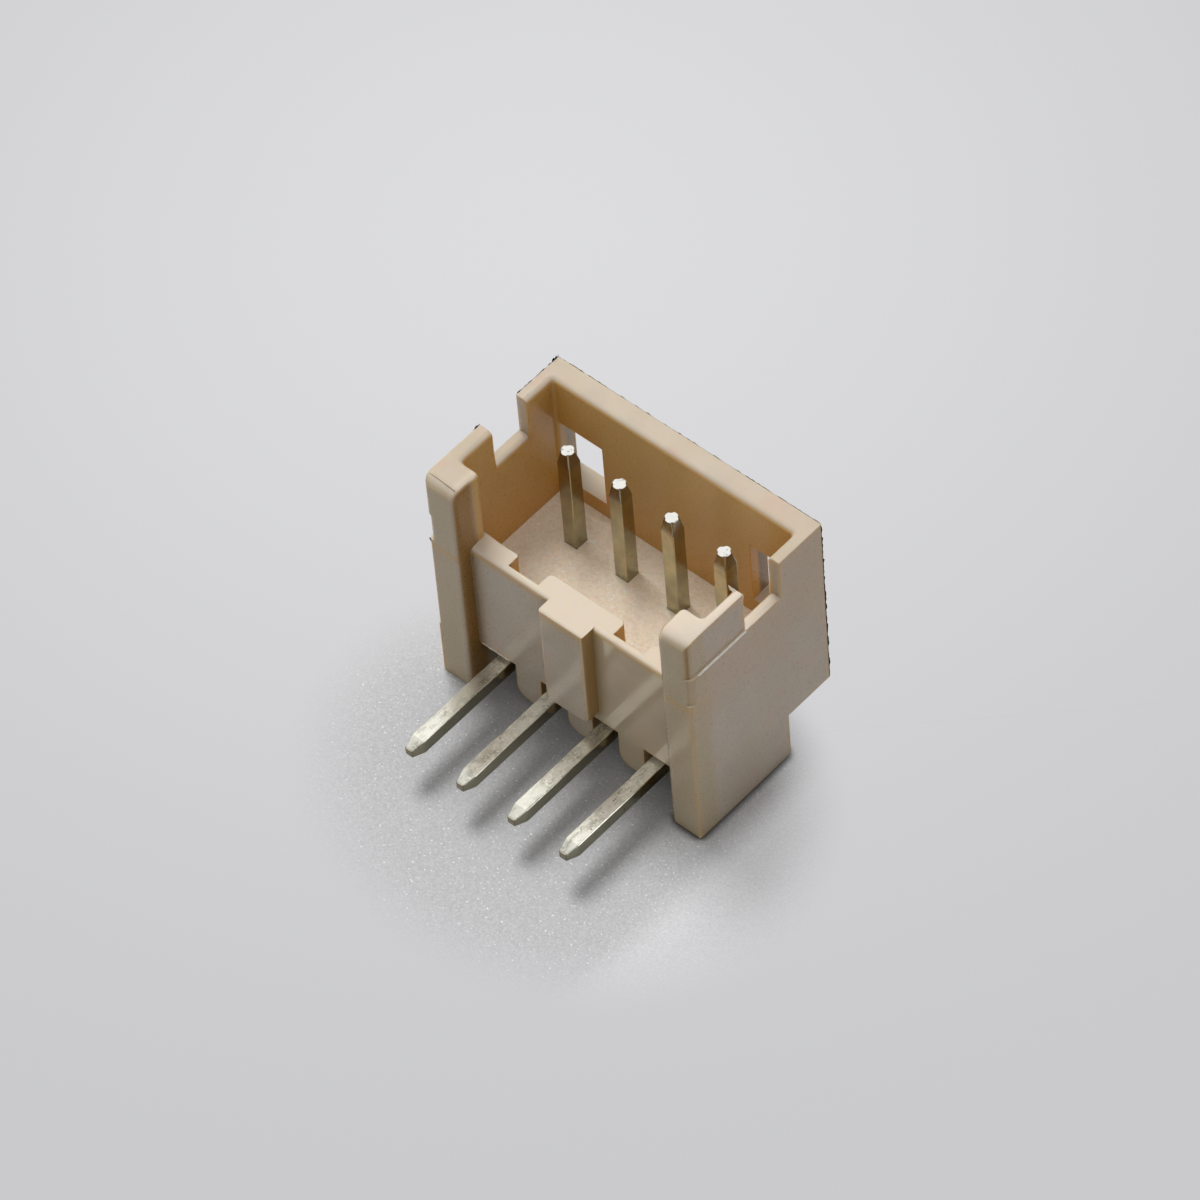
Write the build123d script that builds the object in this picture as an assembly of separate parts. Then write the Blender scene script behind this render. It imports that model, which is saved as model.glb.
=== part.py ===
from build123d import *
import os

# A shrouded right-angle header: one moulded housing and a row of bent square pins.
# X runs along the pin row, Y leads away from the board, Z leads out of the mating opening.
# Heights are taken from the rear face while the pieces are drawn. The origin is then set in
# the middle of the row of tails, on the board plane. All sizes are in millimetres.

# Pin row
pin_count = 4
pitch = 2.0
end_margin = 2.03
pin_row_y = 3.93
pin_tip_recess = 0.91

# Bent square pins
pin_side = 0.5
pin_edge_radius = 0.04
bend_inner_radius = 0.25
tail_height = 1.28
tail_length = 3.67
mating_tip_flat = 0.29
mating_tip_length = 0.5
tail_tip_flat = 0.28
tail_tip_length = 0.45

# Outer form of the housing
mating_height = 8.85
body_depth = 5.9
ear_depth = 4.05
ear_corner_radius = 0.2
cheek_top_radius = 0.45

# Posts that stand on the board at both ends
post_width = 1.16
post_depth = 1.2
post_corner_radius = 0.3
post_corner_height = 2.7
lower_corner_radius = 0.12
lower_corner_foot = 2.2

# Walls and floor of the shroud
cavity_depth = 5.02
cavity_corner_radius = 0.12
soft_edge_radius = 0.2
end_wall = 0.43
back_wall = 0.75
board_wall = 0.25
board_wall_setback = 0.48
board_wall_drop = 2.8
board_wall_edge_radius = 0.16
bend_clearance = 0.02

# Notches in the end walls. The mould parts at their floor, and above it the outer face of
# the front of both ends sits a little to the left, which leaves a fine step along each end.
notch_start = 2.55
notch_width = 1.48
notch_depth = 1.57
parting_shift = 0.07

# Windows in the back wall
window_width = 1.76
window_height = 2.5
window_sill = 0.6

# Ledges beside the posts, key block inside the wall and rib outside it
ledge_length = 1.27
key_width = 2.9
key_reach = 0.55
key_corner_radius = 0.16
ledge_corner_radius = 0.1
rib_width = 1.7
rib_base_height = 1.95
rib_foot_radius = 0.35
rib_edge_radius = 0.12

# Comb that keeps the tails apart
comb_thickness = 0.7
comb_foot_height = 0.37
comb_foot_radius = 0.45
tail_side_clearance = 0.25
tail_top_clearance = 0.19

# Limits: two places this close count as one, and a foot rounds by up to this share of its width
touching = 0.01
widest_rounding = 0.48

# Places that follow from the sizes above
half_length = (pin_count - 1) * pitch / 2 + end_margin
post_inner_x = half_length - post_width
ledge_inner_x = post_inner_x - ledge_length
cavity_end_x = half_length - end_wall
cavity_floor = mating_height - cavity_depth
floor_underside = tail_height + pin_side / 2 + bend_inner_radius + bend_clearance
comb_root = tail_height + pin_side / 2 + tail_top_clearance
comb_inner_y = board_wall_setback + comb_thickness
tooth_width = pitch - pin_side - 2 * tail_side_clearance
board_wall_top = mating_height - board_wall_drop
board_wall_inner_y = board_wall_setback + board_wall
key_inner_y = board_wall_inner_y + key_reach
back_wall_inner_y = body_depth - back_wall
notch_floor = mating_height - notch_depth
notch_end = notch_start + notch_width
window_base = cavity_floor + window_sill
pin_places = [(i - (pin_count - 1) / 2) * pitch for i in range(pin_count)]
tooth_places = [(i - (pin_count - 2) / 2) * pitch for i in range(pin_count - 1)]


def block(x_span, y_span, z_span):
    """A cuboid between two corners."""
    spans = (x_span, y_span, z_span)
    size = [high - low for low, high in spans]
    centre = [(high + low) / 2 for low, high in spans]
    return Pos(*centre) * Box(*size)


def side_section(points, x_span):
    """An outline of (y, z) points, seen from the end of the part, run along X."""
    outline = make_face(Polyline(*[(x_span[0], y, z) for y, z in points], close=True))
    return extrude(outline, amount=x_span[1] - x_span[0], dir=(1, 0, 0))


def tongue(x, width, z_span, y_span, foot_radius):
    """An upright tongue whose two lower corners are round, seen from the board side."""
    outline = Plane.XZ * Pos(x, sum(z_span) / 2) * Rectangle(width, z_span[1] - z_span[0])
    feet = outline.vertices().group_by(Axis.Z)[0]
    outline = fillet(feet, min(foot_radius, widest_rounding * width))
    return Pos(0, y_span[0], 0) * extrude(outline, amount=y_span[1] - y_span[0], dir=(0, 1, 0))


def at_both_ends(shape):
    """The shape and its mirror image across the middle of the row."""
    return shape + mirror(shape, about=Plane.YZ)


def round_corner(outer_x, r, z_span):
    """What a round corner on a post leaves out of a square one."""
    outline = Pos(outer_x - r / 2, r / 2) * Rectangle(r, r)
    outline -= Pos(outer_x - r, r) * Circle(r)
    return Pos(0, 0, z_span[0]) * extrude(outline, amount=z_span[1] - z_span[0], dir=(0, 0, 1))


def upper_corner(outer_x):
    """The wide rounding on the upper part of a post."""
    return round_corner(
        outer_x, post_corner_radius, (mating_height - post_corner_height, mating_height)
    )


def lower_corner(outer_x):
    """The narrow rounding below it, which stops short of the foot."""
    return round_corner(
        outer_x, lower_corner_radius, (lower_corner_foot, mating_height - post_corner_height)
    )


def end_slab():
    """Post, ear and the full height of the end wall behind its notch."""
    slab = side_section(
        [
            (0, 0),
            (ear_depth, 0),
            (ear_depth, floor_underside),
            (body_depth, floor_underside),
            (body_depth, mating_height),
            (notch_end, mating_height),
            (notch_end, notch_floor),
            (0, notch_floor),
        ],
        (post_inner_x, half_length),
    )
    heel = slab.edges().filter_by(Axis.X).group_by(Axis.Z)[0].sort_by(Axis.Y)[-1]
    slab = fillet(heel, ear_corner_radius)
    return slab - upper_corner(half_length) - lower_corner(half_length)


def upper_front(outer_x):
    """The end in front of its notch, from the parting up to the rim."""
    top = side_section(
        [
            (0, notch_floor),
            (notch_start, notch_floor),
            (notch_start, mating_height),
            (0, mating_height),
        ],
        (post_inner_x, outer_x),
    )
    front_top = top.edges().filter_by(Axis.X).group_by(Axis.Y)[0].sort_by(Axis.Z)[-1]
    return fillet(front_top, cheek_top_radius) - upper_corner(outer_x)


def middle_section():
    """Floor, back wall and low wall on the board side, from post to post."""
    section = side_section(
        [
            (board_wall_setback, comb_root),
            (comb_inner_y, comb_root),
            (comb_inner_y, floor_underside),
            (body_depth, floor_underside),
            (body_depth, mating_height),
            (back_wall_inner_y, mating_height),
            (back_wall_inner_y, board_wall_top),
            (board_wall_setback, board_wall_top),
        ],
        (-post_inner_x, post_inner_x),
    )
    lip = section.edges().filter_by(Axis.X).group_by(Axis.Y)[0].sort_by(Axis.Z)[-1]
    return fillet(lip, board_wall_edge_radius)


def corners_at(outline, x, y):
    """The corners of a flat outline that lie at a point and at its mirror image."""
    return [v for v in outline.vertices() if abs(abs(v.X) - x) + abs(v.Y - y) < touching]


def plug_space():
    """The space that the plug fills, which leaves the ledges and the key block standing."""
    right_side = [
        (key_width / 2, key_inner_y),
        (key_width / 2, board_wall_inner_y),
        (ledge_inner_x, board_wall_inner_y),
        (ledge_inner_x, post_depth),
        (cavity_end_x, post_depth),
        (cavity_end_x, back_wall_inner_y),
    ]
    left_side = [(-x, y) for x, y in reversed(right_side)]
    outline = make_face(Polyline(*right_side, *left_side, close=True))
    ends = outline.vertices().group_by(Axis.X)
    outline = fillet(ends[0] + ends[-1], cavity_corner_radius)
    outline = fillet(corners_at(outline, key_width / 2, key_inner_y), key_corner_radius)
    outline = fillet(corners_at(outline, ledge_inner_x, post_depth), ledge_corner_radius)
    return Pos(0, 0, cavity_floor) * extrude(outline, amount=cavity_depth, dir=(0, 0, 1))


def rib():
    """The rib that stands out to the board plane in the middle of the low wall."""
    bar = tongue(
        0,
        rib_width,
        (rib_base_height, board_wall_top),
        (0, board_wall_inner_y),
        rib_foot_radius,
    )
    return fillet(bar.faces().sort_by(Axis.Y)[0].edges(), rib_edge_radius)


def comb():
    """One tooth in each gap between two tails."""
    teeth = [
        tongue(
            x,
            tooth_width,
            (comb_foot_height, floor_underside),
            (board_wall_setback, comb_inner_y),
            comb_foot_radius,
        )
        for x in tooth_places
    ]
    return Part() + teeth


def soft_edges(body):
    """The edges that the plug slides past: the rim, the notch floors and the posts' inner edges."""

    def on_rim(spot):
        inside = abs(spot.X) < cavity_end_x + touching and spot.Y < back_wall_inner_y + touching
        return inside and spot.Y > touching and spot.Z > mating_height - touching

    def on_post_top(spot):
        beside = abs(abs(spot.X) - post_inner_x) < touching
        return beside and spot.Y < cheek_top_radius and spot.Z > mating_height - cheek_top_radius

    def on_notch_floor(spot):
        beside = abs(abs(spot.X) - cavity_end_x) < touching
        between = notch_start < spot.Y < notch_end
        return beside and between and abs(spot.Z - notch_floor) < touching

    def on_post_edge(spot):
        beside = abs(abs(spot.X) - post_inner_x) < touching
        return beside and (abs(spot.Y) < touching or abs(spot.Y - post_depth) < touching)

    places = (on_rim, on_post_top, on_notch_floor, on_post_edge)
    return [edge for edge in body.edges() if any(place(edge.center()) for place in places)]


def windows():
    """The window at each end of the back wall, level with the end wall's inner face."""
    return at_both_ends(
        block(
            (cavity_end_x - window_width, cavity_end_x),
            (back_wall_inner_y, body_depth),
            (window_base, window_base + window_height),
        )
    )


def pin_holes():
    """Square holes through the floor, which grip the pins."""
    half = pin_side / 2
    holes = [
        block((x - half, x + half), (pin_row_y - half, pin_row_y + half), (0, cavity_floor))
        for x in pin_places
    ]
    return Part() + holes


def housing():
    """The whole moulding."""
    body = middle_section() + at_both_ends(end_slab()) + rib() + comb()
    body += upper_front(half_length - parting_shift)
    body += mirror(upper_front(half_length + parting_shift), about=Plane.YZ)
    body -= plug_space()
    body = fillet(soft_edges(body), soft_edge_radius)
    return body - windows() - pin_holes()


def wire_section(plane, side):
    """The pin's square section with its rounded edges."""
    return plane * RectangleRounded(side, side, pin_edge_radius)


def pin(x):
    """One pin: tail, bend and mating leg, with a taper to a small flat at each end."""
    tail_end = Vector(x, -tail_length, tail_height)
    tail_start = tail_end + Vector(0, tail_tip_length, 0)
    corner = Vector(x, pin_row_y, tail_height)
    leg_end = Vector(x, pin_row_y, mating_height - pin_tip_recess)
    leg_start = leg_end - Vector(0, 0, mating_tip_length)
    path = FilletPolyline(tail_start, corner, leg_start, radius=bend_inner_radius + pin_side / 2)
    along_tail = Plane(tail_start, x_dir=(1, 0, 0), z_dir=(0, 1, 0))
    wire = sweep(wire_section(along_tail, pin_side), path=path)
    tail_tip = loft(
        [
            wire_section(Plane(tail_end, x_dir=(1, 0, 0), z_dir=(0, 1, 0)), tail_tip_flat),
            wire_section(along_tail, pin_side),
        ]
    )
    leg_tip = loft(
        [
            wire_section(Plane(leg_start, x_dir=(1, 0, 0), z_dir=(0, 0, 1)), pin_side),
            wire_section(Plane(leg_end, x_dir=(1, 0, 0), z_dir=(0, 0, 1)), mating_tip_flat),
        ]
    )
    return wire + tail_tip + leg_tip


def save(name, shape):
    """Set the piece on the part's origin and write it."""
    export_step(Pos(0, 0, -tail_height) * shape, f"parts/{name}.step")


os.makedirs("parts", exist_ok=True)
save("housing", housing())
for number, place in enumerate(pin_places, start=1):
    save(f"pin_{number}", pin(place))
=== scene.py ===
import bpy
import bmesh
import math
import random
from mathutils import Euler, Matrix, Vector


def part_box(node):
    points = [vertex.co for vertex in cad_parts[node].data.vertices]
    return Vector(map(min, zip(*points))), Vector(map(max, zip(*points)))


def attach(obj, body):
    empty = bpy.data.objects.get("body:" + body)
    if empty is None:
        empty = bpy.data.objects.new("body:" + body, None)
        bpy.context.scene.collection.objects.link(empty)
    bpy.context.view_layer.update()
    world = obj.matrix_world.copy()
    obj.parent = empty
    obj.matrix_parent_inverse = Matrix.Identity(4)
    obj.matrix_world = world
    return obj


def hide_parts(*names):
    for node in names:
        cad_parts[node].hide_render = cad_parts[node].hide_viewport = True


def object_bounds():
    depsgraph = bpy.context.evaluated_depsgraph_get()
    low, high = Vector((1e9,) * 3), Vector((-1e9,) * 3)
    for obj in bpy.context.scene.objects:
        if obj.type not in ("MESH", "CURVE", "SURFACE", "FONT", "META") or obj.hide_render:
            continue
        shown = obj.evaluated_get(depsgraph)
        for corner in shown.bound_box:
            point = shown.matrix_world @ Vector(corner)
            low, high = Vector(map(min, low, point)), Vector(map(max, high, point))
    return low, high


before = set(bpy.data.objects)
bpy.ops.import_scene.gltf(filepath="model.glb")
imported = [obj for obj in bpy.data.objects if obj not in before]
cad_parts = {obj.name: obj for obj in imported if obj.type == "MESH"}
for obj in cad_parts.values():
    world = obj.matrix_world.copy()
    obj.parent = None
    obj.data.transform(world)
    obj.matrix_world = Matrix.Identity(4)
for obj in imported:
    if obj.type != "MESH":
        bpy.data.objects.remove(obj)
cadBox = [list(corner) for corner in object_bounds()]
paperHeight = cadBox[0][2]    # metres, the part lies on it
pinNames = sorted(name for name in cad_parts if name.startswith("pin_"))
scene = bpy.context.scene
mm = 0.001    # the sizes below are in millimetres, Blender works in metres
black = (0.0, 0.0, 0.0)
nodeSpacing = (220, 260)    # columns and rows in the shader editor


def newNode(tree, kind, **settings):
    # one shader node, with its sockets or properties set by name
    node = tree.nodes.new(kind)
    for key, value in settings.items():
        if key in node.inputs:
            node.inputs[key].default_value = value
        else:
            setattr(node, key, value)
    return node


def newMaterial(name):
    material = bpy.data.materials.new(name)
    material.use_nodes = True
    tree = material.node_tree
    tree.nodes.clear()
    output = newNode(tree, "ShaderNodeOutputMaterial")
    shader = newNode(tree, "ShaderNodeBsdfPrincipled")
    tree.links.new(shader.outputs["BSDF"], output.inputs["Surface"])
    return material, tree, shader


def arrange(tree):
    # columns by distance from the output, so that the graph reads from left to right
    steps = {node.name: 0 for node in tree.nodes}
    settled = False
    while not settled:
        settled = True
        for link in tree.links:
            needed = steps[link.to_node.name] + 1
            if steps[link.from_node.name] < needed:
                steps[link.from_node.name] = needed
                settled = False
    rows = {}
    for node in tree.nodes:
        column = steps[node.name]
        rows[column] = rows.get(column, -1) + 1
        node.location = (-column * nodeSpacing[0], -rows[column] * nodeSpacing[1])


def stretched(tree, place, scale):
    mapping = newNode(tree, "ShaderNodeMapping", Scale=scale)
    tree.links.new(place, mapping.inputs["Vector"])
    return mapping.outputs["Vector"]


def millimetres(tree):
    # Object coordinates counted in millimetres, so every pattern's scale is per millimetre
    coordinates = newNode(tree, "ShaderNodeTexCoord")
    return stretched(tree, coordinates.outputs["Object"], (1 / mm, 1 / mm, 1 / mm))


def components(tree, vector):
    split = newNode(tree, "ShaderNodeSeparateXYZ")
    tree.links.new(vector, split.inputs["Vector"])
    return split.outputs


def faceNormal(tree):
    return components(tree, newNode(tree, "ShaderNodeNewGeometry").outputs["Normal"])


def noise(tree, place, scale, detail, roughness):
    node = newNode(tree, "ShaderNodeTexNoise", Scale=scale, Detail=detail, Roughness=roughness)
    tree.links.new(place, node.inputs["Vector"])
    return node.outputs["Fac"]


def ramp(tree, value, limits, out=(0.0, 1.0)):
    # a smooth change between two limits, the lower one first
    node = newNode(tree, "ShaderNodeMapRange", interpolation_type="SMOOTHSTEP")
    node.inputs["From Min"].default_value, node.inputs["From Max"].default_value = limits
    node.inputs["To Min"].default_value, node.inputs["To Max"].default_value = out
    tree.links.new(value, node.inputs["Value"])
    return node.outputs["Result"]


def fade(tree, value, limits):
    return ramp(tree, value, limits, (1.0, 0.0))


def spots(tree, place, pattern):
    # a mask of soft spots: a noise, the limits between which they fade in, and their strength
    scale, detail, roughness, limits, strength = pattern
    return ramp(tree, noise(tree, place, scale, detail, roughness), limits, (0.0, strength))


def combine(tree, how, first, second=0.0):
    node = newNode(tree, "ShaderNodeMath", operation=how)
    for socket, value in zip(node.inputs, (first, second)):
        if isinstance(value, (int, float)):
            socket.default_value = value
        else:
            tree.links.new(value, socket)
    return node.outputs["Value"]


def product(tree, first, *others):
    for other in others:
        first = combine(tree, "MULTIPLY", first, other)
    return first


def within(tree, value, limits, margin):
    # 1 between two limits, falling to 0 over the margin on either side
    low, high = limits
    rising = ramp(tree, value, (low - margin, low))
    return product(tree, rising, fade(tree, value, (high, high + margin)))


def vectorMaths(tree, how, first, second=(0.0, 0.0, 0.0)):
    node = newNode(tree, "ShaderNodeVectorMath", operation=how)
    tree.links.new(first, node.inputs[0])
    node.inputs[1].default_value = second
    return node.outputs["Value" if how in ("LENGTH", "DISTANCE", "DOT_PRODUCT") else "Vector"]


def blendColour(tree, factor, first, second, how="MIX"):
    node = newNode(tree, "ShaderNodeMix", data_type="RGBA", blend_type=how)
    for name, value in (("Factor_Float", factor), ("A_Color", first), ("B_Color", second)):
        socket = next(s for s in node.inputs if s.identifier == name)
        if isinstance(value, float):
            socket.default_value = value
        elif isinstance(value, tuple):
            socket.default_value = (*value, 1)
        else:
            tree.links.new(value, socket)
    return next(s for s in node.outputs if s.identifier == "Result_Color")


def occlusion(tree, reach, samples, **settings):
    node = newNode(
        tree, "ShaderNodeAmbientOcclusion", Distance=reach * mm, samples=samples, **settings
    )
    return node.outputs["AO"]


def bump(tree, height, size, before=None):
    strength, distance = size
    node = newNode(tree, "ShaderNodeBump", Strength=strength, Distance=distance * mm)
    tree.links.new(height, node.inputs["Height"])
    if before:
        tree.links.new(before, node.inputs["Normal"])
    return node.outputs["Normal"]


# Camera, as the photograph was taken

cameraView = {
    "place": (112.42, -108.95, 200.59),    # mm from the part's origin
    "turn": (38.662, 3.260, 41.379),    # degrees about X, Y and Z
    "lens": 261.6,
    "clip": (0.01, 20),    # metres
}


def addCamera(view):
    data = bpy.data.cameras.new("camera")
    data.lens = view["lens"]
    data.clip_start, data.clip_end = view["clip"]
    camera = bpy.data.objects.new("camera", data)
    camera.location = Vector(view["place"]) * mm
    camera.rotation_euler = Euler([math.radians(a) for a in view["turn"]])
    scene.collection.objects.link(camera)
    scene.camera = camera


addCamera(cameraView)
print("camera set")


# Materials. A noise is given as how many lumps it has to a millimetre, its detail and its
# roughness. Spots have also the limits between which they fade in, and their strength.

plastic = {
    # tones
    "base": (0.615, 0.515, 0.385),    # warm beige, natural polyamide
    "paler": (0.655, 0.56, 0.44),    # in wide clouds
    "fleck": (0.30, 0.20, 0.12),
    "rosy": (0.66, 0.485, 0.375),    # in soft blotches, with grey between them
    "grey": (0.56, 0.495, 0.405),
    "top": (0.79, 0.685, 0.555),    # painted light: level faces near the board made lighter
    "post": (0.59, 0.465, 0.265),    # the slim posts let a little light through
    "lip": (0.66, 0.45, 0.20),    # painted light: an amber band just under the top edges, where light comes through their rounding
    "warm": (0.66, 0.47, 0.30),    # painted light: the upper end walls, warmer where light comes through the thin wall above the cavity floor
    "erodedAndLit": (0.94, 0.83, 0.69),    # the cavity floor, lumpy from spark erosion of the mould, and painted paler for the light that comes through the walls
    "lumps": (0.86, 0.745, 0.60),
    # painted glints on the cavity floor
    "sparkle": (1.0, 1.0, 0.97),
    "thinEdge": (0.70, 0.49, 0.22),    # where light comes through an edge
    "hollow": (0.20, 0.11, 0.03),    # painted shade in narrow hollows
    "side": (0.37, 0.185, 0.03),    # painted shade on the side faces in the recesses of the front
    "mirrored": (0.80, 0.62, 0.32),    # where the front wall mirrors a tail
    "inner": (0.74, 0.47, 0.155),    # walls inside the shroud, where light comes through them
    "innerDeep": (0.70, 0.385, 0.08),    # and their corners, deeper, as painted shade
    "floorGlow": (0.077, 0.066, 0.052),    # light that reaches the cavity floor through the walls

    # patterns
    "clouds": (0.35, 2.0, 0.5, (0.35, 0.65), 1.0),
    "flecks": (5.5, 1.0, 0.5, (0.79, 0.84), 0.5),
    "glints": (9.0, 1.0, 0.5, (0.67, 0.70), 1.0),
    "blotches": (0.75, 3.0, 0.55),
    "rosyLimits": (0.50, 0.66),
    "greyLimits": (0.32, 0.50),
    "coarse": (7.0, 4.0, 0.62),    # on the cavity floor
    "coarseLimits": (0.38, 0.6),
    "fine": (14.0, 3.0, 0.6),    # on every face
    "fineLimits": (0.3, 0.7),

    # slopes: the size of the normal's Z, which is 0 on an upright face and 1 on a level one
    "uprightSlope": (0.3, 0.8),
    "edgeSlope": (0.12, 0.42),
    "topSlope": (0.45, 0.85),
    "floorSlope": (0.5, 0.9),
    "sideTilt": (0.45, 0.85),    # and the size of its X, for faces that look along the row

    # places, in mm from the origin, between which a mask fades
    "boardSide": (0.6, 0.95),    # away from the board
    "betweenEnds": (4.9, 4.95),    # along the row either way, beyond which nothing is a hollow
    "endFaces": (4.9, 5.0),    # along the row either way
    "postFaces": (3.8, 4.3),    # along the row either way
    "topStart": (-4.3, -3.8),    # along the row
    "topEnd": (2.6, 4.5),    # away from the board
    "lipBands": ((4.30, 4.72, 0.85), (7.15, 7.60, 0.45)),    # from and to a height, and share
    "lipEnd": 0.1,    # over which a band ends
    "wallHeight": (2.5, 5.0),    # where the end walls turn warm
    "mirrorRow": (0.95, 3.8),    # along the row
    "mirrorMargin": 0.3,
    "floorHeight": 2.55,
    "floorTolerance": 0.03,
    "shroud": ((-4.60, 4.60), (0.9, 5.4), (2.6, 7.7)),    # the inside of the walls
    "shroudMargin": 0.16,

    # strengths of the tones
    "rosyShare": 0.5,
    "greyShare": 0.45,
    "postShare": 0.65,
    "warmShare": 0.45,
    "thinShare": 0.85,
    "levelTint": 0.05,    # share of the thin edges' tone on level faces
    "hollowShare": 0.95,
    "sideShare": 0.9,
    "mirroredShare": 0.28,
    "innerShare": 0.9,

    # edges and corners, found by how much of the surroundings is covered within a reach in mm
    "edgeReach": 0.22,
    "edgeLimits": (0.5, 0.96),
    "edgeSamples": 6,
    "cornerReach": 3.0,
    "cornerLimits": (0.35, 0.97),
    "cornerSamples": 8,

    # surface
    "roughness": (0.34, 0.42),
    "uprightGloss": 0.08,    # how much smoother the upright faces are
    "mirrorGloss": 0.16,    # and the piece of wall that mirrors a tail
    "gloss": 0.45,
    "fineBump": (0.02, 0.004),    # strength and height in mm
    "coarseBump": (1.0, 0.13),
    "glowShare": 0.35,
    "glowDepth": 0.35,    # mm that light travels under the skin
    "glowTint": (1.0, 0.62, 0.36),
}


def housingFaces(tree, place, facts):
    # masks for the kinds of face that have a tone of their own; most of these tones are painted
    # light and shade
    spot = components(tree, place)
    normal = faceNormal(tree)
    slope = combine(tree, "ABSOLUTE", normal["Z"])
    tilt = combine(tree, "ABSOLUTE", normal["X"])
    across = combine(tree, "ABSOLUTE", spot["X"])
    upright = fade(tree, slope, facts["uprightSlope"])
    between = fade(tree, across, facts["betweenEnds"])
    boardSide = fade(tree, spot["Y"], facts["boardSide"])
    front = product(tree, boardSide, upright)

    # painted light: amber bands just under the top edges
    lips = []
    for start, stop, share in facts["lipBands"]:
        rising = ramp(tree, spot["Z"], (start, stop), (0.0, share))
        ending = fade(tree, spot["Z"], (stop, stop + facts["lipEnd"]))
        lips.append(product(tree, rising, ending, front))

    # painted light: level faces near the board get a lighter tone
    litTops = ramp(tree, slope, facts["topSlope"])
    litTops = product(tree, litTops, fade(tree, spot["Y"], facts["topEnd"]))
    posts = product(tree, ramp(tree, across, facts["postFaces"]), front)
    # painted light: end walls turn warmer above the cavity floor
    endWalls = ramp(tree, spot["Z"], facts["wallHeight"], (0.0, facts["warmShare"]))
    endWalls = product(tree, endWalls, ramp(tree, across, facts["endFaces"]), upright)
    # painted shade on side faces in the front recesses
    sides = ramp(tree, tilt, facts["sideTilt"], (0.0, facts["sideShare"]))
    mirror = within(tree, spot["X"], facts["mirrorRow"], facts["mirrorMargin"])
    atFloor = combine(tree, "COMPARE", spot["Z"], facts["floorHeight"])
    atFloor.node.inputs[2].default_value = facts["floorTolerance"]
    shroud = upright
    for axis, limits in zip("XYZ", facts["shroud"]):
        shroud = product(tree, shroud, within(tree, spot[axis], limits, facts["shroudMargin"]))

    # light comes through convex edges and hardly reaches hollows
    edges = occlusion(tree, facts["edgeReach"], facts["edgeSamples"], only_local=True, inside=True)
    edges = ramp(tree, edges, facts["edgeLimits"], (facts["thinShare"], 0.0))
    bySlope = ramp(tree, slope, facts["edgeSlope"], (1.0, facts["levelTint"]))
    hollows = occlusion(tree, facts["cornerReach"], facts["cornerSamples"], only_local=True)
    hollows = ramp(tree, hollows, facts["cornerLimits"], (facts["hollowShare"], 0.0))

    return {
        "upright": upright,
        "litTops": product(tree, litTops, ramp(tree, spot["X"], facts["topStart"])),
        "posts": product(tree, posts, facts["postShare"]),
        "lips": lips,
        "endWalls": endWalls,
        "cavityFloor": product(tree, atFloor, ramp(tree, slope, facts["floorSlope"])),
        "thinEdges": product(tree, edges, bySlope),
        "hollows": product(tree, hollows, between, upright),
        "sides": product(tree, sides, between, boardSide),
        "mirror": product(tree, mirror, front),
        "shroud": product(tree, shroud, facts["innerShare"]),
    }


def plasticMaterial(facts):
    material, tree, shader = newMaterial("natural_polyamide")
    place = millimetres(tree)
    faces = housingFaces(tree, place, facts)

    blotches = noise(tree, place, *facts["blotches"])
    coarse = noise(tree, place, *facts["coarse"])
    lumpy = ramp(tree, coarse, facts["coarseLimits"])
    erodedAndLit = blendColour(tree, lumpy, facts["lumps"], facts["erodedAndLit"])
    erodedAndLit = blendColour(tree, spots(tree, place, facts["glints"]), erodedAndLit, facts["sparkle"])
    inner = blendColour(tree, faces["hollows"], facts["inner"], facts["innerDeep"])

    # each tone lies over those before it
    colour = facts["base"]
    layers = [
        (spots(tree, place, facts["clouds"]), facts["paler"]),
        (spots(tree, place, facts["flecks"]), facts["fleck"]),
        (ramp(tree, blotches, facts["rosyLimits"], (0.0, facts["rosyShare"])), facts["rosy"]),
        (ramp(tree, blotches, facts["greyLimits"], (facts["greyShare"], 0.0)), facts["grey"]),
        # the tones from here on are mostly painted light and shade
        (faces["litTops"], facts["top"]),
        (faces["posts"], facts["post"]),
        *[(lip, facts["lip"]) for lip in faces["lips"]],
        (faces["endWalls"], facts["warm"]),
        (faces["cavityFloor"], erodedAndLit),
        (faces["thinEdges"], facts["thinEdge"]),
        (faces["hollows"], facts["hollow"]),
        (faces["sides"], facts["side"]),
        (product(tree, faces["mirror"], facts["mirroredShare"]), facts["mirrored"]),
        (faces["shroud"], inner),
    ]
    for mask, tone in layers:
        colour = blendColour(tree, mask, colour, tone)
    tree.links.new(colour, shader.inputs["Base Color"])
    glow = blendColour(tree, faces["cavityFloor"], black, facts["floorGlow"])
    tree.links.new(glow, shader.inputs["Emission Color"])
    shader.inputs["Emission Strength"].default_value = 1.0

    fine = noise(tree, place, *facts["fine"])
    smoother = combine(
        tree, "ADD", product(tree, faces["upright"], facts["uprightGloss"]),
        product(tree, faces["mirror"], facts["mirrorGloss"]),
    )
    dull = ramp(tree, fine, facts["fineLimits"], facts["roughness"])
    tree.links.new(combine(tree, "SUBTRACT", dull, smoother), shader.inputs["Roughness"])
    shaped = bump(tree, fine, facts["fineBump"])
    shaped = bump(tree, product(tree, faces["cavityFloor"], coarse), facts["coarseBump"], shaped)
    tree.links.new(shaped, shader.inputs["Normal"])

    shader.inputs["Subsurface Weight"].default_value = facts["glowShare"]
    shader.inputs["Subsurface Radius"].default_value = facts["glowTint"]
    shader.inputs["Subsurface Scale"].default_value = facts["glowDepth"] * mm
    shader.inputs["Specular IOR Level"].default_value = facts["gloss"]
    arrange(tree)
    return material


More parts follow.
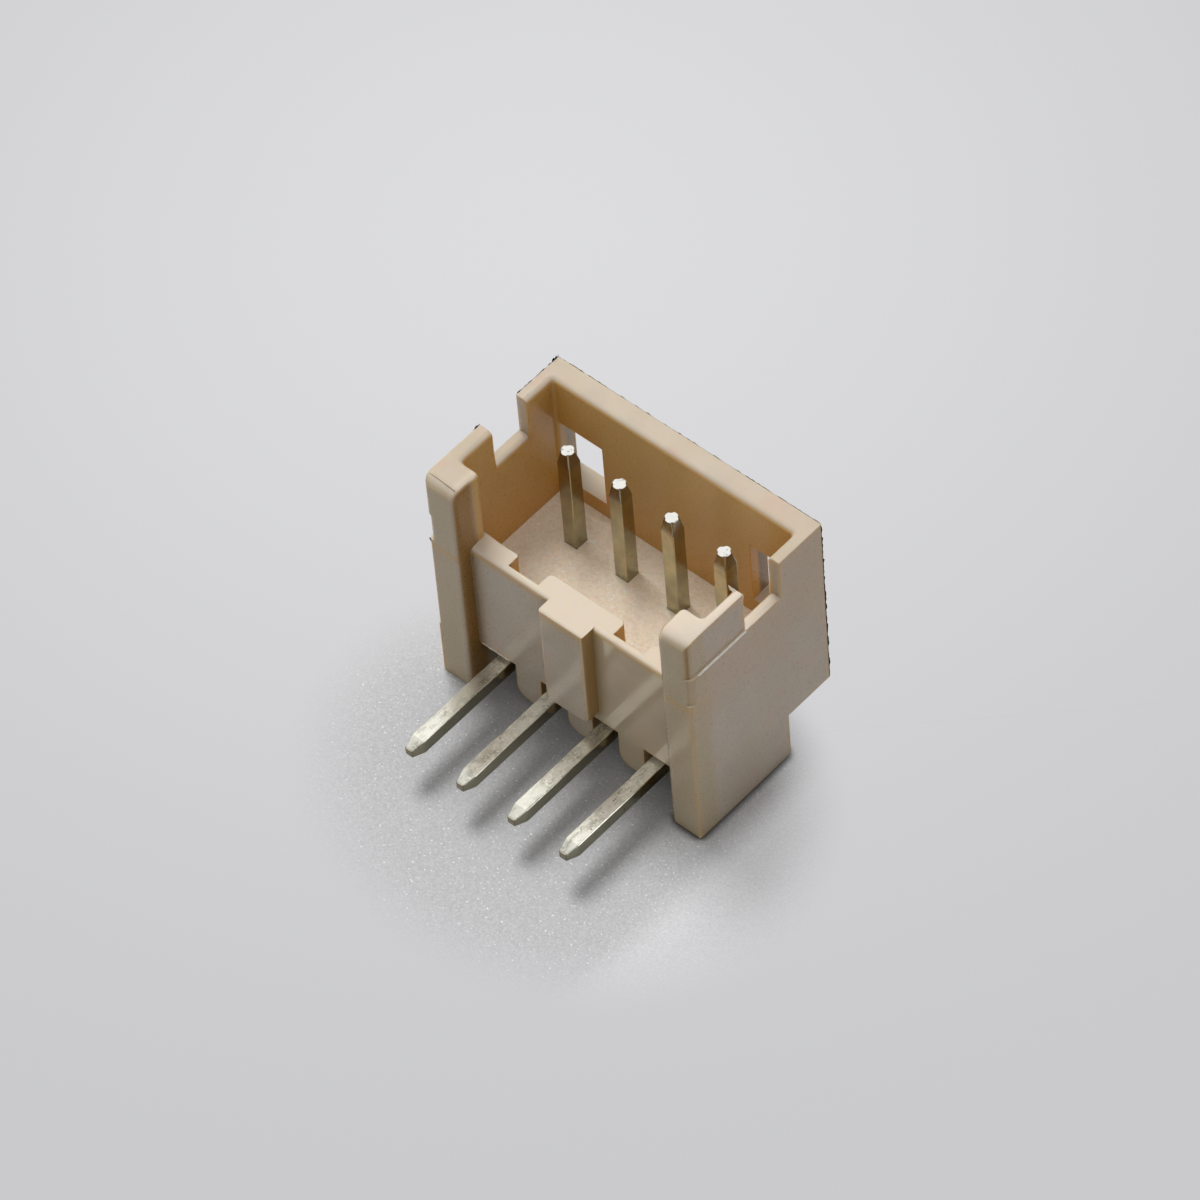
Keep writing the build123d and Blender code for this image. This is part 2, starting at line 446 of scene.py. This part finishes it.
plating = {
    # tones
    "tin": (0.84, 0.83, 0.74),
    "tinEnd": (1.0, 0.985, 0.88),    # painted highlight: brighter towards the cut end of a tail, and in sparks that are painted glints
    "stain": (0.39, 0.385, 0.31),    # in fine mottles
    "flank": (0.27, 0.26, 0.19),    # the sides of a tail, seen in the shade
    "pit": (0.16, 0.13, 0.09),    # and the sheared end of a tail
    "brass": (0.55, 0.485, 0.295),    # shows through where the plating is thin
    "shoulder": (0.30, 0.285, 0.24),    # darker tapers of the mating legs
    "cut": (0.86, 0.85, 0.80),    # painted highlight: white, not metallic ends of the mating legs
    "cutMark": (0.42, 0.42, 0.38),

    # patterns
    "patches": (1.0, 4.0, 0.7, (0.44, 0.66), 0.8),
    "patchStretch": (3.5, 1.6, 3.5),
    "sparks": (13.0, 2.0, 0.5, (0.56, 0.64), 0.9),
    "bare": (1.3, 3.0, 0.5, (0.3, 0.75), 1.0),
    "pits": (6.0, 2.0, 0.5, (0.70, 0.76), 0.85),
    "marks": (7.0, 2.0, 0.5, (0.56, 0.66), 1.0),
    "lines": (1.0, 2.0, 0.5),    # from drawing the wire
    "lineStretch": (22, 1.6, 1.6),
    "grain": (9.0, 3.0, 0.6),
    "grainLimits": (0.3, 0.7),

    # places, in mm from the origin, between which a mask fades
    "tailEnd": (-3.3, -1.9),    # away from the board
    "shearedEnd": (-3.66, -3.60),    # away from the board
    "legWear": (1.0, 3.0),    # height, from a tail's plating to a leg's
    "legMetal": (1.0, 2.0),    # height, where the tails' chalky finish ends
    "taper": (6.08, 6.18),    # height
    "cutHeight": (6.5, 6.55),
    "facesUp": (0.25, 0.45),    # the normal's Z, from a flank to the top of a tail
    "cutFacesUp": (0.5, 0.8),
    "mattFacesUp": (0.8, 0.95),

    # strengths
    "wornShares": (0.12, 0.5),    # how thin the plating is on a tail and on a leg
    "bareShare": 0.6,    # how much of that shows outside the bare spots
    "shearedShare": 0.8,
    "taperShare": 0.75,
    "tailMetal": 0.68,    # matt tin is partly chalky

    # surface
    "roughness": (0.12, 0.24),
    "lineBump": (0.3, 0.005),    # strength and height in mm
    "grainBump": (0.15, 0.006),
}


def platingMaterial(facts):
    material, tree, shader = newMaterial("tin_plating")
    place = millimetres(tree)
    spot = components(tree, place)
    facing = faceNormal(tree)["Z"]

    # a tail: mottled tin, painted brighter towards its end as a highlight and darker on the flanks
    # as shade
    tailEnd = fade(tree, spot["Y"], facts["tailEnd"])
    tin = blendColour(tree, tailEnd, facts["tin"], facts["tinEnd"])
    patches = spots(tree, stretched(tree, place, facts["patchStretch"]), facts["patches"])
    tin = blendColour(tree, patches, tin, facts["stain"])
    tin = blendColour(tree, spots(tree, place, facts["sparks"]), tin, facts["tinEnd"])
    tin = blendColour(tree, ramp(tree, facing, facts["facesUp"]), facts["flank"], tin)
    sheared = ramp(tree, spot["Y"], facts["shearedEnd"], (facts["shearedShare"], 0.0))
    tin = blendColour(tree, sheared, tin, facts["pit"])

    # a mating leg: brass shows through, the taper is dark and the cut end is painted white as a
    # highlight
    worn = ramp(tree, spot["Z"], facts["legWear"], facts["wornShares"])
    bare = product(tree, spots(tree, place, facts["bare"]), worn)
    bare = combine(tree, "ADD", bare, product(tree, worn, facts["bareShare"]))
    taper = ramp(tree, spot["Z"], facts["taper"], (0.0, facts["taperShare"]))
    cut = ramp(tree, spot["Z"], facts["cutHeight"])
    cut = product(tree, cut, ramp(tree, facing, facts["cutFacesUp"]))
    cutTone = blendColour(
        tree, spots(tree, place, facts["marks"]), facts["cut"], facts["cutMark"]
    )
    colour = tin
    layers = [
        (bare, facts["brass"]),
        (spots(tree, place, facts["pits"]), facts["pit"]),
        (taper, facts["shoulder"]),
        (cut, cutTone),
    ]
    for mask, tone in layers:
        colour = blendColour(tree, mask, colour, tone)
    tree.links.new(colour, shader.inputs["Base Color"])

    metal = combine(
        tree, "MAXIMUM", ramp(tree, spot["Z"], facts["legMetal"], (facts["tailMetal"], 1.0)),
        fade(tree, facing, facts["mattFacesUp"]),
    )
    # the ends painted white as a highlight are not metallic
    tree.links.new(combine(tree, "SUBTRACT", metal, cut), shader.inputs["Metallic"])

    lines = noise(tree, stretched(tree, place, facts["lineStretch"]), *facts["lines"])
    grain = noise(tree, place, *facts["grain"])
    dull = ramp(tree, grain, facts["grainLimits"], facts["roughness"])
    tree.links.new(dull, shader.inputs["Roughness"])
    shaped = bump(tree, lines, facts["lineBump"])
    shaped = bump(tree, grain, facts["grainBump"], shaped)
    tree.links.new(shaped, shader.inputs["Normal"])
    arrange(tree)
    return material


thinFlash = {
    # two tones and how much it glows, because light comes through the thinnest flakes
    # the dark flakes' tone is painted shade, put where thin shadows lie along edges
    "dark": ((0.20, 0.15, 0.10), (0.42, 0.33, 0.23), 0.0),
    "pale": ((0.80, 0.75, 0.66), (0.88, 0.85, 0.77), 0.12),
    "clouds": (6.0, 2.0, 0.5, (0.4, 0.6), 1.0),
    "grain": (14.0, 2.0, 0.5),
    "grainBump": (0.3, 0.01),    # strength and height in mm
    "roughness": 0.5,
}


def flashMaterial(tone, facts):
    material, tree, shader = newMaterial("thin_flash_" + tone)
    place = millimetres(tree)
    first, second, glow = facts[tone]
    colour = blendColour(tree, spots(tree, place, facts["clouds"]), first, second)
    tree.links.new(colour, shader.inputs["Base Color"])
    shaped = bump(tree, noise(tree, place, *facts["grain"]), facts["grainBump"])
    tree.links.new(shaped, shader.inputs["Normal"])
    shader.inputs["Roughness"].default_value = facts["roughness"]
    shader.inputs["Emission Color"].default_value = (*second, 1)
    shader.inputs["Emission Strength"].default_value = glow
    arrange(tree)
    return material


plasticFinish = plasticMaterial(plastic)
flashFinish = {tone: flashMaterial(tone, thinFlash) for tone in ("dark", "pale")}
platingFinish = platingMaterial(plating)
print("materials made")


# Housing: the moulded body with its sharp edges eased

housing = {
    "edgeWidth": 0.034,    # mm
    "edgeSegments": 2,
    "sharpAngle": 40,    # degrees, from which an edge is eased
    "shadedEdge": 50,    # degrees, from which an edge is still shaded as sharp
    # the fine mould steps stay crisp
    "stepHeights": (6.0, 4.87, 0.92),    # mm above the origin
    "stepInside": 4.6,    # mm from the middle
    "stepReach": 2.6,    # mm from the board plane
    "stepTolerance": 0.04,
    # so do the rib's top sides, which run into the lip's rounding
    "ribSide": 0.85,    # mm from the middle
    "ribSideWidth": 0.13,
    "ribTop": 4.6,    # mm above the origin
    "ribDepth": 0.7,    # mm from the board plane
}

mergeDistance = 1e-6    # metres
flatAngle = 0.5    # degrees, under which neighbouring faces are one flat area


def looseCopy(node):
    # a merged copy of a CAD node, with each flat area as one face
    shape = bmesh.new()
    shape.from_mesh(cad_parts[node].data)
    bmesh.ops.remove_doubles(shape, verts=shape.verts, dist=mergeDistance)
    bmesh.ops.dissolve_limit(
        shape, angle_limit=math.radians(flatAngle), use_dissolve_boundaries=False,
        verts=shape.verts, edges=shape.edges,
    )
    return shape


def onMouldStep(edge, facts):
    front = all(v.co.y < facts["stepReach"] * mm for v in edge.verts)
    outside = max(abs(v.co.x) for v in edge.verts) > facts["stepInside"] * mm
    heights = [v.co.z / mm for v in edge.verts]
    level = any(
        all(abs(height - step) < facts["stepTolerance"] for height in heights)
        for step in facts["stepHeights"]
    )
    return front and level and outside


def onRibTop(edge, facts):
    return all(
        abs(abs(v.co.x / mm) - facts["ribSide"]) < facts["ribSideWidth"]
        and v.co.y < facts["ribDepth"] * mm and v.co.z > facts["ribTop"] * mm
        for v in edge.verts
    )


def sharpEdges(shape, angle):
    return [e for e in shape.edges if e.calc_face_angle(0) > math.radians(angle)]


def easeEdges(shape, edges, facts):
    bmesh.ops.bevel(
        shape, geom=edges, offset=facts["edgeWidth"] * mm, offset_type="OFFSET", affect="EDGES",
        segments=facts["edgeSegments"], profile=0.5, clamp_overlap=False, material=-1,
    )


def finishPiece(name, shape, material, slot, shadedEdge, *replaced):
    for face in shape.faces:
        face.smooth = True
    for edge in shape.edges:
        edge.smooth = edge.calc_face_angle(0) < math.radians(shadedEdge)
    mesh = bpy.data.meshes.new(name)
    shape.to_mesh(mesh)
    shape.free()
    mesh.materials.append(material)
    piece = bpy.data.objects.new(name, mesh)
    scene.collection.objects.link(piece)
    even = piece.modifiers.new("even shading", "WEIGHTED_NORMAL")
    even.keep_sharp = True
    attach(piece, "root")
    if replaced:
        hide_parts(*replaced)
    return piece


def mouldedHousing(facts):
    shape = looseCopy("housing")
    sharp = [
        e for e in sharpEdges(shape, facts["sharpAngle"])
        if not onMouldStep(e, facts) and not onRibTop(e, facts)
    ]
    easeEdges(shape, sharp, facts)
    return finishPiece(
        "moulded_housing", shape, plasticFinish, "housing_plastic", facts["shadedEdge"], "housing"
    )


mouldedHousing(housing)
print("housing made")


# Pins: the bent wires with their cut ends eased

pins = {
    "edgeWidth": 0.025,    # mm
    "edgeSegments": 2,
    "sharpAngle": 45,    # degrees, which only the rims of the cut ends reach
    "shadedEdge": 9,    # degrees, so that the narrow facets along the wire stay crisp
    "cutRadius": 0.185,    # mm, the cut end of a mating leg is worn round
    "cutSides": 4,    # points added to each of its sides
    "shortestSide": 0.5,    # as a share of that radius
    "cutTolerance": 0.01,    # mm
}


def bentPin(node, facts):
    shape = looseCopy(node)
    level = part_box(node)[1].z - facts["cutTolerance"] * mm
    shortest = facts["cutRadius"] * facts["shortestSide"] * mm
    rim = [e for e in shape.edges if all(v.co.z > level for v in e.verts)]
    rim = [e for e in rim if e.calc_length() > shortest]
    bmesh.ops.subdivide_edges(shape, edges=rim, cuts=facts["cutSides"])
    top = [v for v in shape.verts if v.co.z > level]
    middle = sum((v.co for v in top), Vector()) / len(top)
    for vert in top:
        vert.co = middle + (vert.co - middle).normalized() * facts["cutRadius"] * mm
    easeEdges(shape, sharpEdges(shape, facts["sharpAngle"]), facts)
    return finishPiece(
        node + "_wire", shape, platingFinish, "pin_metal", facts["shadedEdge"], node
    )


for pinName in pinNames:
    bentPin(pinName, pins)
print("pins made")


# Flash: thin flakes that the mould left along its partings; the dark ones are coloured as painted
# shade, and two pale lines are painted highlights

flash = {
    "shadedEdge": 50,    # degrees
    "seed": 4,
    "raggedness": 2,    # the higher, the fewer flakes stand out
    # for each line: start, end and outward direction, height and thickness in mm, lowest flake
    # as a share of the height, and number of flakes
    # flakes coloured as painted shade along edges
    "dark": [
        ((5.03, 5.88, 0.6), (5.03, 5.88, 7.5), (0, 1, 0), 0.06, 0.025, 0.05, 70),
        ((-5.0, 5.9, 7.55), (5.0, 5.9, 7.55), (0, 0.3, 1), 0.035, 0.025, 0.05, 90),
        ((-5.03, 4.1, 7.55), (-5.03, 5.85, 7.55), (0, 0, 1), 0.05, 0.025, 0.05, 20),
        ((-5.03, 5.62, 7.55), (-5.03, 5.9, 7.55), (0, 0.2, 1), 0.16, 0.025, 0.05, 5),
        ((-5.10, 2.3, 7.55), (-5.10, 2.55, 7.55), (0, 0.2, 1), 0.10, 0.025, 0.05, 4),
        ((-5.0, 0.03, 4.70), (-5.0, 0.03, 4.86), (-1, -1, 0), 0.07, 0.025, 0.05, 4),
        ((-5.02, 0.30, 7.56), (-3.98, 0.24, 7.56), (0, -0.3, 1), 0.025, 0.025, 0.05, 26),
        ((4.75, 5.86, 7.56), (5.0, 5.55, 7.56), (0, 0, 1), 0.03, 0.025, 0.05, 8),
    ],
    "pale": [
        # two on the right cheek's curl, a painted highlight on the mould step, the ear's corner,
        # a painted highlight on the right post's corner and the burr above the first tail
        ((4.60, 2.50, 7.55), (4.96, 2.54, 7.47), (0, 0.25, 1), 0.09, 0.10, 0.7, 6),
        ((4.48, 2.49, 7.60), (4.72, 2.51, 7.57), (-0.5, 0.1, 1), 0.07, 0.06, 0.7, 4),
        ((5.035, 0.42, 5.99), (5.035, 2.5, 5.99), (-1, 0, 1), 0.045, 0.015, 0.6, 30),
        ((4.98, 0.01, -1.2), (5.02, 0.01, -1.1), (0.2, -1, 0), 0.08, 0.03, 0.6, 3),
        ((5.010, 0.015, -0.7), (5.010, 0.015, 2.95), (1, -1, 0), 0.022, 0.035, 0.5, 40),
        ((-3.80, 0.475, 0.455), (-2.72, 0.475, 0.455), (0, -1, 0.2), 0.022, 0.02, 0.0, 16),
    ],
}


def flashLine(shape, line, raggedness, draw):
    start, end, outward, height, thickness, least, count = line
    start, end = Vector(start) * mm, Vector(end) * mm
    rise = Vector(outward).normalized() * height * mm
    # a flat strip from -0.5 to 0.5 either way, laid along the line
    strip = bmesh.ops.create_grid(shape, x_segments=count, y_segments=1, size=0.5)["verts"]
    for vert in strip:
        along, raised = vert.co.x + 0.5, vert.co.y > 0
        vert.co = start.lerp(end, along)
        if raised:
            vert.co += rise * (least + (1 - least) * draw.random() ** raggedness)
        else:
            vert.co -= rise.normalized() * thickness * mm
    # each face once, always in the same order
    faces = list(dict.fromkeys(face for vert in strip for face in vert.link_faces))
    bmesh.ops.solidify(shape, geom=faces, thickness=thickness * mm)


def mouldFlash(tone, facts):
    draw = random.Random(facts["seed"])
    shape = bmesh.new()
    for line in facts[tone]:
        flashLine(shape, line, facts["raggedness"], draw)
    bmesh.ops.recalc_face_normals(shape, faces=shape.faces)
    return finishPiece(
        "mould_flash_" + tone, shape, flashFinish[tone], "housing_plastic", facts["shadedEdge"]
    )


mouldFlash("dark", flash)
mouldFlash("pale", flash)
print("flash made")


# Floor and light

floor = {
    "size": 4.0,    # metres
    # away from the part the camera sees an even backdrop, with a painted falloff of light that
    # makes it darker away from its brightest spot
    "backdrop": ((0.718, 0.718, 0.733), (0.592, 0.592, 0.607)),    # brightest and darkest
    "brightest": (-14.3, 14.6),    # mm, behind the part
    "backdropReach": (0.0, 37.4),    # mm
    # a patch of paper round the part, where the shadows fall
    "paper": (0.60, 0.60, 0.61),
    "speck": (0.95, 0.95, 0.97),
    "specks": (11.0, 1.0, 0.5, (0.69, 0.72), 1.0),
    "grain": (16.0, 3.0, 0.75),
    "grainLimits": (0.3, 0.7),
    "grainShare": 0.13,
    "grainBump": (0.3, 0.03),    # strength and height in mm
    "roughness": 0.7,
    "gloss": 0.2,
    "patchMiddle": (0.8, -1.1),    # mm
    "patchSize": (7.4, 6.1, 1.0),    # half widths in mm
    "patchEdge": (0.80, 1.25),    # in those half widths
    "patchRight": (5.2, 6.6),    # mm along the row, between which the patch grows fainter
    "patchShare": 0.62,    # what is left of it there
    "lighter": 1.3,    # painted light: the paper there is made lighter, softening the broad shadow of the housing
    # painted shade close to the part and under it: reach in mm, how open the paper is there, and
    # the share of its tone left
    "contact": (0.35, (0.58, 0.86), 0.12),
    "contactFrom": (3.0, 3.6),    # mm along the row, from which the painted contact shade starts, so that it lies only along the right ear
    "under": (2.5, (0.05, 0.5), 0.4),
    "shadeSamples": 6,
    "unseen": 0.55,    # share of its tone that lights the part from below
}


def paperPatch(tree, place, row, facts):
    # 1 on the paper round the part and 0 on the backdrop
    offset = vectorMaths(tree, "SUBTRACT", place, (*facts["patchMiddle"], paperHeight / mm))
    scaled = vectorMaths(tree, "DIVIDE", offset, facts["patchSize"])
    patch = fade(tree, vectorMaths(tree, "LENGTH", scaled), facts["patchEdge"])
    fainter = ramp(tree, row, facts["patchRight"], (1.0, facts["patchShare"]))
    return product(tree, patch, fainter)


def paperShade(tree, size, samples):
    reach, limits, left = size
    return ramp(tree, occlusion(tree, reach, samples), limits, (1 - left, 0.0))


def paperMaterial(facts):
    material, tree, shader = newMaterial("pale_paper")
    place = millimetres(tree)
    row = components(tree, place)["X"]
    seen = newNode(tree, "ShaderNodeLightPath").outputs
    shown = combine(tree, "MAXIMUM", seen["Is Camera Ray"], seen["Is Glossy Ray"])

    grain = noise(tree, place, *facts["grain"])
    mottled = (1 - facts["grainShare"], 1 + facts["grainShare"])
    # painted light: the paper is made lighter towards the right
    lift = ramp(tree, row, facts["patchRight"], (1.0, facts["lighter"]))
    # painted shade: the paper is darkened close to the part and under it
    contact = paperShade(tree, facts["contact"], facts["shadeSamples"])
    contact = product(tree, contact, ramp(tree, row, facts["contactFrom"]))
    under = paperShade(tree, facts["under"], facts["shadeSamples"])
    share = ramp(tree, shown, (0.0, 1.0), (facts["unseen"], 1.0))
    tint = ramp(tree, grain, facts["grainLimits"], mottled)
    paper = blendColour(tree, 1.0, facts["paper"], tint, "MULTIPLY")
    paper = blendColour(tree, 1.0, paper, lift, "MULTIPLY")
    paper = blendColour(tree, spots(tree, place, facts["specks"]), paper, facts["speck"])
    paper = blendColour(tree, contact, paper, black)
    paper = blendColour(tree, under, paper, black)
    paper = blendColour(tree, 1.0, paper, share, "MULTIPLY")
    tree.links.new(paper, shader.inputs["Base Color"])
    tree.links.new(bump(tree, grain, facts["grainBump"]), shader.inputs["Normal"])
    shader.inputs["Roughness"].default_value = facts["roughness"]
    shader.inputs["Specular IOR Level"].default_value = facts["gloss"]

    far = vectorMaths(tree, "DISTANCE", place, (*facts["brightest"], paperHeight / mm))
    backdrop = blendColour(tree, ramp(tree, far, facts["backdropReach"]), *facts["backdrop"])
    glow = newNode(tree, "ShaderNodeEmission")
    # the painted contact shade darkens the backdrop too
    tree.links.new(blendColour(tree, contact, backdrop, black), glow.inputs["Color"])
    outside = combine(tree, "SUBTRACT", 1.0, paperPatch(tree, place, row, facts))
    mix = newNode(tree, "ShaderNodeMixShader")
    tree.links.new(product(tree, shown, outside), mix.inputs[0])
    tree.links.new(shader.outputs["BSDF"], mix.inputs[1])
    tree.links.new(glow.outputs["Emission"], mix.inputs[2])
    output = next(n for n in tree.nodes if n.type == "OUTPUT_MATERIAL")
    tree.links.new(mix.outputs["Shader"], output.inputs["Surface"])
    arrange(tree)
    return material


def addFloor(facts):
    shape = bmesh.new()
    bmesh.ops.create_grid(shape, x_segments=1, y_segments=1, size=facts["size"] / 2)
    bmesh.ops.translate(shape, verts=shape.verts, vec=(0, 0, paperHeight))
    mesh = bpy.data.meshes.new("floor")
    shape.to_mesh(mesh)
    shape.free()
    mesh.materials.append(paperMaterial(facts))
    plane = bpy.data.objects.new("floor", mesh)
    scene.collection.objects.link(plane)


softboxes = [
    # name, direction from the part, distance and width in metres, share of the light on a
    # facing surface, and whether matt and shiny surfaces see it
    ("key", (-0.43, 0.20, 0.88), 0.25, 0.11, 0.58, True, False),
    ("fill", (0.0, -0.85, 0.40), 0.8, 1.4, 0.23, True, True),
    ("rim", (0.78, 0.44, 0.45), 0.5, 0.7, 0.6, False, True),
    ("front", (-0.446, -0.439, 0.78), 0.4, 0.3, 0.20, False, True),
    ("sheen", (-0.446, 0.439, 0.78), 0.3, 0.2, 0.05, False, True),
]

surroundings = {
    "tint": (1, 1, 1.01, 1),
    "strongest": 0.60,
    "weakest": 0.05,
    "lean": (-0.10, 0.50, 0.86),    # towards the strongest light
    "leanLimits": (-0.2, 1.0),    # from the weakest to the strongest
    "shown": 0.70,    # behind the part
}


def addSoftbox(name, direction, distance, width, share, matt, shiny):
    lamp = bpy.data.lights.new(name, "AREA")
    lamp.shape = "DISK"
    lamp.size = width
    lamp.energy = share * math.pi ** 2 * distance ** 2
    towards = Vector(direction).normalized()
    holder = bpy.data.objects.new(name, lamp)
    holder.location = towards * distance
    holder.rotation_euler = towards.to_track_quat("Z", "Y").to_euler()
    holder.visible_diffuse = matt
    holder.visible_glossy = shiny
    scene.collection.objects.link(holder)


def addSurroundings(facts):
    world = bpy.data.worlds.new("studio")
    world.use_nodes = True
    scene.world = world
    tree = world.node_tree
    tree.nodes.clear()
    output = newNode(tree, "ShaderNodeOutputWorld")
    direction = newNode(tree, "ShaderNodeTexCoord").outputs["Generated"]
    lean = vectorMaths(tree, "DOT_PRODUCT", direction, facts["lean"])
    shares = (facts["weakest"], facts["strongest"])
    lit = newNode(tree, "ShaderNodeBackground", Color=facts["tint"])
    tree.links.new(ramp(tree, lean, facts["leanLimits"], shares), lit.inputs["Strength"])
    shown = newNode(tree, "ShaderNodeBackground", Color=facts["tint"], Strength=facts["shown"])
    mix = newNode(tree, "ShaderNodeMixShader")
    seen = newNode(tree, "ShaderNodeLightPath")
    tree.links.new(seen.outputs["Is Camera Ray"], mix.inputs[0])
    tree.links.new(lit.outputs[0], mix.inputs[1])
    tree.links.new(shown.outputs[0], mix.inputs[2])
    tree.links.new(mix.outputs[0], output.inputs["Surface"])
    arrange(tree)


addFloor(floor)
for softbox in softboxes:
    addSoftbox(*softbox)
addSurroundings(surroundings)
scene.view_settings.view_transform = "Standard"
print("floor and light set")

bpy.context.view_layer.update()
